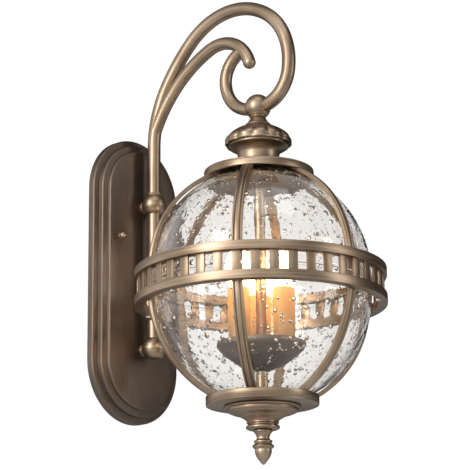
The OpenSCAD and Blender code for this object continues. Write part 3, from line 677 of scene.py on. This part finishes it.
finished(fluted_cap(), "fluted_cap", round_bronze, "lantern", "scalloped_cap", crease=50)
waist_outline = [(0, 0), (26.4, 0), (26.8, 0.8), (26.2, 1.6), (25.6, 3.0), (25.4, 10.0), (25.6, 14.0),
                 (26.2, 17.0), (27.6, 19.8), (30.0, 22.4), (33.0, 24.2), (36.2, 25.2), (37.0, 25.8),
                 (37.0, 30.8), (0, 30.8)]
turned("coved_waist", raised(waist_outline, WAIST_UP), round_bronze, "lantern", "waist", 96)
top_outline = [(RIM_R - CAP_WALL, RIM_LOW), (RIM_R - 0.5, RIM_LOW), (RIM_R, RIM_LOW + 0.5),
               (RIM_R, FACE_UP - 2.6), (RIM_R - 0.3, FACE_UP - 2.0), (RIM_R, FACE_UP - 1.5),
               (RIM_R - 0.2, FACE_UP - 0.5), (RIM_R - 1.2, FACE_UP), (RIM_R - 4, FACE_UP + 0.1),
               (26.4, WAIST_UP), (CAP_BORE_R, WAIST_UP), (CAP_BORE_R, FACE_UP - CAP_WALL),
               (RIM_R - CAP_WALL, FACE_UP - CAP_WALL), (RIM_R - CAP_WALL, RIM_LOW)]
turned("rimmed_top_cap", top_outline, round_bronze, "lantern", "top_cap", 128)
dark_tones = ((0.20, 0.155, 0.125), (0.28, 0.225, 0.185), (0.36, 0.30, 0.25))
dark_bronze = brushed_bronze("shaded bronze", dark_tones, (0.3, 0.3, 9), 45, 0.5)
dress(dark_bronze, "heat_plate")


# --- Band rails and slats ------------------------------------------------------------------
# Two rolled rails with softened edges, and between them forty-three flat slats with open
# windows. Rails are rubbed round the band, slats up and down.
BAND_R = 152.5
RAIL_T = 12
WINDOW_HALF = 11.5
RAIL_H = 10.8


def rail_outline(side):
    """Section of a rail: a flat bar with softened corners."""
    soft = 0.7
    low, high = WINDOW_HALF, WINDOW_HALF + RAIL_H
    inner = BAND_R - RAIL_T
    section = [(inner, low + 0.4), (inner + 0.4, low), (BAND_R - soft, low),
               (BAND_R - 0.2, low + 0.2), (BAND_R, low + soft), (BAND_R, high - soft),
               (BAND_R - 0.2, high - 0.2), (BAND_R - soft, high), (inner + 0.4, high),
               (inner, high - 0.4), (inner, low + 0.4)]
    return [(r, side * z) for r, z in section]


turned("upper_band_rail", rail_outline(1), round_bronze, "lantern", "upper_rail", 192)
turned("lower_band_rail", rail_outline(-1), round_bronze, "lower_cage", "lower_rail", 192)
SLAT_N = 43
SLAT_OUT = 149.1
SLAT_T = 3.0
FIRST_SLAT = -91
slat_bronze = brushed_bronze("slat bronze", bronze_tones, (9, 9, 0.5), 40, 0.36)


def slats():
    shape = bmesh.new()
    pitch = math.tau / SLAT_N
    width = SLAT_OUT * pitch / 2
    for k in range(SLAT_N):
        turn = k * pitch + math.radians(FIRST_SLAT)
        made = bmesh.ops.create_cube(shape, size=MM)
        verts = made["verts"]
        bmesh.ops.scale(shape, vec=(SLAT_T, width, 2 * WINDOW_HALF + 1.6), verts=verts)
        edges = list({e for v in verts for e in v.link_edges})
        bent = bmesh.ops.bevel(shape, geom=edges, offset=0.0004, segments=2, profile=0.5,
                               affect="EDGES", material=-1)
        ring = list({v for f in bent["faces"] for v in f.verts})
        bmesh.ops.translate(shape, vec=((SLAT_OUT - SLAT_T / 2) * MM, 0, 0.0011), verts=ring)
        bmesh.ops.rotate(shape, cent=(0, 0, 0), matrix=Matrix.Rotation(turn, 3, "Z"), verts=ring)
    return hang(shape)


finished(slats(), "band_slats", slat_bronze, "lantern", "slat_ring")


# --- Ribs ----------------------------------------------------------------------------------
# Six cast ribs on each half of the globe, moulded with a flat middle and a ridge down each
# side. Their feet stand behind the rails and their ends lie in notches in the caps' rims.
RIB_PART = 1.5
RIB_T = 5
RIB_BITE = 4.2
RIB_N = 6
RIB_HALF = [(1.2, 0.1), (2.1, -0.1), (2.7, -0.8), (3.3, -1.5), (3.9, -0.8), (4.7, -0.5),
            (5.5, -0.7), (6, -1.3), (6, -RIB_T)]
RIB_SECTION = [(-w, d) for w, d in reversed(RIB_HALF)] + RIB_HALF


def rib(name, node, body, turn, offset, side):
    rise = math.sqrt(RIB_R ** 2 - (RIM_R + 0.6) ** 2)
    last = math.asin((rise + RIB_BITE) / RIB_R)
    stations = [(RIB_R, RIB_PART, 0.0), (RIB_R, offset / 2, 0.0)]
    stations += [(None, offset, last * k / 44) for k in range(45)]
    rings = []
    out = Vector((math.cos(turn), math.sin(turn), 0))
    across = Vector((-math.sin(turn), math.cos(turn), 0))
    for r, z, lean in stations:
        ring = []
        for w, d in RIB_SECTION:
            if r is None:
                spot = out * (RIB_R + d) * math.cos(lean) + across * w
                spot.z = side * (offset + (RIB_R + d) * math.sin(lean))
            else:
                spot = out * (r + d) + across * w
                spot.z = side * z
            ring.append(spot * MM)
        rings.append(ring)
    finished(hang(skinned(rings)), name, rib_bronze, body, node, crease=28)


rib_bronze = brushed_bronze("rib bronze", bronze_tones, (0.5, 14, 1), 34, 0.35, "along")
for i in range(1, RIB_N + 1):
    turn = math.radians((i - 1) * 360 / RIB_N - 90)
    rib(f"upper_moulded_rib_{i}", f"upper_rib_{i}", "lantern", turn, UPPER_OFFSET, 1)
    rib(f"lower_moulded_rib_{i}", f"lower_rib_{i}", "lower_cage", turn, LOWER_OFFSET, -1)


# --- Seeded glass bowls --------------------------------------------------------------------
# Two mould-blown bowls of clear glass, full of seeds: small flattened bubbles of air drawn
# out in the wall. They stand in the caps and meet behind the band.
def seeded_glass():
    made, tree, skin = new_finish("seeded glass")
    link = tree.links.new
    skin.inputs["Base Color"].default_value = (0.985, 0.972, 0.95, 1)
    skin.inputs["Transmission Weight"].default_value = 1.0
    skin.inputs["Roughness"].default_value = 0.0
    skin.inputs["IOR"].default_value = 1.46
    swirl = blotches(tree, 22, (1, 1, 1), 1.0)
    fine = blotches(tree, 130, (1, 1, 0.8), 1.0)
    little = tree.nodes.new("ShaderNodeMath")
    little.operation = "MULTIPLY"
    little.inputs[1].default_value = 0.07
    both = tree.nodes.new("ShaderNodeMath")
    both.operation = "ADD"
    link(fine, little.inputs[0])
    link(swirl, both.inputs[0])
    link(little.outputs[0], both.inputs[1])
    raised_by(tree, skin, both.outputs[0], 0.42, 0.004)
    seen = tree.nodes.new("ShaderNodeLightPath")
    through = tree.nodes.new("ShaderNodeBsdfTransparent")
    mix = tree.nodes.new("ShaderNodeMixShader")
    link(seen.outputs["Is Shadow Ray"], mix.inputs["Fac"])
    link(skin.outputs[0], mix.inputs[1])
    link(through.outputs[0], mix.inputs[2])
    link(mix.outputs[0], tree.nodes["Material Output"].inputs["Surface"])
    return made


GLASS_GAP = 1.6
GLASS_R = RIB_R - RIB_T - GLASS_GAP
GLASS_WALL = 3.0
BUBBLE_SIZES = ((190, 1.8, 3.1), (430, 1.0, 1.8), (1100, 0.4, 1.0))


def unit_bubble():
    """A round bubble's corners and faces, wound so that it is a hole in the glass."""
    shape = bmesh.new()
    bmesh.ops.create_icosphere(shape, subdivisions=2, radius=1.0)
    bmesh.ops.reverse_faces(shape, faces=shape.faces)
    shape.verts.index_update()
    corners = [v.co.copy() for v in shape.verts]
    faces = [[v.index for v in f.verts] for f in shape.faces]
    shape.free()
    return corners, faces


def glass_bowl(name, body, node, offset, neck, side, seed):
    inner = GLASS_R - GLASS_WALL
    outer_end = math.degrees(math.asin((neck - offset) / GLASS_R))
    inner_end = math.degrees(math.asin((neck - offset) / inner))
    outline = [(GLASS_R, RIB_PART)] + arc(0, offset, GLASS_R, 0, outer_end, 44)
    outline += arc(0, offset, inner, inner_end, 0, 44) + [(inner, RIB_PART), (GLASS_R, RIB_PART)]
    shape = spun(outline, 144)
    bmesh.ops.recalc_face_normals(shape, faces=shape.faces)
    shape.verts.index_update()
    points = [v.co.copy() for v in shape.verts]
    faces = [[v.index for v in f.verts] for f in shape.faces]
    shape.free()
    corners, skin = unit_bubble()
    chance = random.Random(seed)
    middle = GLASS_R - GLASS_WALL / 2
    for many, small, large in BUBBLE_SIZES:
        for _ in range(many):
            turn = chance.uniform(0, math.tau)
            height = chance.uniform(RIB_PART + 4, neck - 5)
            size = chance.uniform(small, large)
            thick = min(size * 0.8, GLASS_WALL / 2 - 0.3)
            level = 0.0
            out = middle
            if height > offset:
                level = math.asin((height - offset) / middle)
                out = middle * math.cos(level)
            tall = size * chance.uniform(0.85, 1.3)
            place = Matrix.Translation(Vector((out * math.cos(turn), out * math.sin(turn), height)) * MM)
            place = place @ Matrix.Rotation(turn, 4, "Z") @ Matrix.Rotation(-level, 4, "Y")
            place = place @ Matrix.Diagonal((thick * MM, size * MM, tall * MM, 1))
            first = len(points)
            points.extend(place @ corner for corner in corners)
            faces.extend([first + k for k in face] for face in skin)
    for point in points:
        point.z *= side
        point += Vector((0, AXIS_Y, BAND_Z))
    if side < 0:
        faces = [list(reversed(face)) for face in faces]
    mesh = bpy.data.meshes.new(name)
    mesh.from_pydata(points, [], faces)
    mesh.materials.append(globe_glass)
    mesh.shade_smooth()
    mesh.set_sharp_from_angle(angle=math.radians(50))
    piece = bpy.data.objects.new(name, mesh)
    bpy.context.scene.collection.objects.link(piece)
    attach(piece, body)
    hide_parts(node)
    return piece


NECK_IN = 4.2
BOTTOM_RIM_H = 11.6
RIM_TOP_DOWN = LOWER_OFFSET + RIM_EDGE_RISE
globe_glass = seeded_glass()
glass_bowl("upper_glass_bowl", "lantern", "upper_glass", UPPER_OFFSET, RIM_LOW + NECK_IN, 1, 11)
glass_bowl("lower_glass_bowl", "lower_cage", "lower_glass", LOWER_OFFSET, RIM_TOP_DOWN + NECK_IN, -1, 12)
dress(globe_glass, "upper_glass", "lower_glass")


# --- Candle cluster ------------------------------------------------------------------------
# A spun dish on the centre tube carries three candle sleeves of ivory card over screw
# lampholders. Each holds a lit candle bulb, and the sleeves carry a painted glow, brightest at the top.
def candle_card():
    made, tree, skin = new_finish("ivory candle sleeve")
    link = tree.links.new
    grain = blotches(tree, 120, (1, 1, 0.2))
    link(shades(tree, grain, [(0.3, (0.40, 0.23, 0.10)), (0.7, (0.50, 0.31, 0.15))]),
         skin.inputs["Base Color"])
    skin.inputs["Roughness"].default_value = 0.5
    where = tree.nodes.new("ShaderNodeTexCoord")
    parts = tree.nodes.new("ShaderNodeSeparateXYZ")
    height = tree.nodes.new("ShaderNodeMapRange")
    height.inputs["From Min"].default_value = BAND_Z - 0.067
    height.inputs["From Max"].default_value = BAND_Z - 0.003
    height.inputs["To Min"].default_value = 0.10
    height.inputs["To Max"].default_value = 1.0
    painted_glow_rise = tree.nodes.new("ShaderNodeMath")
    painted_glow_rise.operation = "POWER"
    painted_glow_rise.inputs[1].default_value = 1.6
    uneven = spread(tree, blotches(tree, 45, (1, 1, 0.3), 2), 0.55, 1.35)
    total = tree.nodes.new("ShaderNodeMath")
    total.operation = "MULTIPLY"
    # Painted glow: the card emits warm light, rising towards its top by the bulb and patchy across it.
    skin.inputs["Emission Color"].default_value = (1.0, 0.36, 0.06, 1)
    link(where.outputs["Object"], parts.inputs[0])
    link(parts.outputs["Z"], height.inputs["Value"])
    link(height.outputs[0], painted_glow_rise.inputs[0])
    link(painted_glow_rise.outputs[0], total.inputs[0])
    link(uneven, total.inputs[1])
    link(total.outputs[0], skin.inputs["Emission Strength"])
    raised_by(tree, skin, grain, 0.1, 0.0003)
    return made


def glazed():
    made, tree, skin = new_finish("white glaze")
    tree.links.new(shades(tree, blotches(tree, 90), [(0.3, (0.78, 0.77, 0.74)), (0.7, (0.86, 0.85, 0.82))]),
                   skin.inputs["Base Color"])
    skin.inputs["Roughness"].default_value = 0.2
    return made


def lit_bulb():
    made, tree, skin = new_finish("lit bulb glass")
    glow = blotches(tree, 40, (1, 1, 0.5))
    tree.links.new(shades(tree, glow, [(0.2, (1, 0.58, 0.24)), (0.8, (1, 0.76, 0.46))]),
                   skin.inputs["Emission Color"])
    skin.inputs["Base Color"].default_value = (1, 0.85, 0.6, 1)
    skin.inputs["Emission Strength"].default_value = 9
    return made


DISH_UP = -66.5
dish_outline = [(5, -34), (9, -33.6), (18, -31.0), (28, -26.4), (37, -20.4), (44.6, -13.6), (50.0, -8.2),
                (52.6, -5.4), (53.4, -3.6), (53.5, -0.8), (53.0, 0), (52.0, 0), (51.9, -4.0),
                (50.8, -6.4), (44.0, -12.4), (27, -24.8), (5, -32.4), (5, -34)]
turned("spun_dish", raised(dish_outline, DISH_UP), dark_bronze, "lantern", "dish", 96)
dress(dark_bronze, "dish_cover")
tube_bronze = brushed_bronze("drawn tube bronze", bronze_tones, (12, 12, 0.5), 30, 0.35)
dress(tube_bronze, "centre_tube", "spacer")
dress(zinc, "tie_rod")
card = candle_card()
CANDLES = (1, 2, 3)
CANDLE_CIRCLE = 31
CANDLE_TURN = 13
sleeve_outline = [(12.0, 0.1), (13.2, 0.1), (13.25, 62.6), (13.0, 63.7), (12.4, 64), (11.9, 63.6),
                  (11.85, 0.4), (12.0, 0.1)]
for i in CANDLES:
    turn = math.radians(CANDLE_TURN + (i - 1) * 120 - 90)
    sleeve = spun(raised(sleeve_outline, DISH_UP), 48)
    moved(sleeve, CANDLE_CIRCLE * math.cos(turn), CANDLE_CIRCLE * math.sin(turn), 0)
    finished(hang(sleeve), f"card_sleeve_{i}", card, "lantern", f"candle_sleeve_{i}")
brass = plated("screw cap", (0.55, 0.45, 0.25), (0.78, 0.66, 0.40))
dress(glazed(), *[f"lampholder_{i}" for i in CANDLES])
dress(brass, *[f"bulb_cap_{i}" for i in CANDLES])
dress(lit_bulb(), *[f"bulb_{i}" for i in CANDLES])


# --- Lower cap, moulding and finial --------------------------------------------------------
# The lower ribs end in a deeper rimmed cap. A stepped and coved moulding hangs under it, and
# a turned finial screws up the rod to hold the lower half of the cage.
BASE = -(RIM_TOP_DOWN + BOTTOM_RIM_H)
OPEN_DOWN = BASE + BOTTOM_RIM_H
ROD_BORE_R = 5.1
bottom_outline = [(RIM_R - CAP_WALL, OPEN_DOWN), (RIM_R - 0.5, OPEN_DOWN), (RIM_R, OPEN_DOWN - 0.5),
                  (RIM_R, BASE + 3.0), (RIM_R - 0.4, BASE + 2.4), (RIM_R, BASE + 1.8),
                  (RIM_R - 0.2, BASE + 0.6), (RIM_R - 1.4, BASE), (ROD_BORE_R, BASE),
                  (ROD_BORE_R, BASE + CAP_WALL), (RIM_R - CAP_WALL, BASE + CAP_WALL),
                  (RIM_R - CAP_WALL, OPEN_DOWN)]
turned("rimmed_bottom_cap", bottom_outline, round_bronze, "lower_cage", "bottom_cap", 128)


def below(steps):
    """A spun outline whose depths are given downwards from the lower cap's face."""
    return [(r, BASE - down) for r, down in steps]


step_beads = [(5.2, 0.1), (44.2, 0.1), (45.6, 0.6), (46.2, 1.7), (45.6, 2.8), (43.6, 3.1), (42.7, 3.7),
              (42.8, 5.2), (42.2, 6.7), (40.6, 7.5), (38.0, 8.0)]
cove = [(36.7, 9.2), (33.0, 10.2), (29.0, 11.4), (26.0, 13.0), (22.8, 14.8), (20.5, 16.4), (19.0, 17.9)]
neck_beads = [(18.6, 18.7), (19.3, 19.3), (19.3, 20.4), (18.4, 20.9), (17.6, 21.7), (17.8, 22.9),
              (19.4, 23.6), (20.3, 24.8), (20.3, 26.1), (19.2, 27.4), (17.0, 28.3), (5.2, 28.3), (5.2, 0.1)]
turned("stepped_moulding", below(step_beads + cove + neck_beads), round_bronze, "lower_cage", "moulding", 96)
collar = [(0, 28.7), (10.6, 28.7), (11.4, 29.4), (11.4, 30.4), (10.6, 31.3), (9.4, 32.7), (8.2, 34.9),
          (7.6, 37.1)]
rings = [(7.8, 39.2), (8.8, 40.2), (10.4, 40.8), (11.0, 41.8), (11.0, 42.8), (10.1, 43.8), (9.8, 44.6),
         (11.2, 45.4), (12.6, 46.6), (13.0, 48.0), (12.4, 49.3), (10.6, 50.3), (9.9, 51.4)]
bud = [(10.1, 53.0), (9.8, 55.9), (8.7, 58.9), (7.2, 61.6), (5.4, 64.0), (3.6, 66.4), (2.0, 68.4),
       (1.0, 69.2), (0, 69.4)]
turned("turned_finial", below(collar + rings + bud), round_bronze, "finial", "finial", 64)
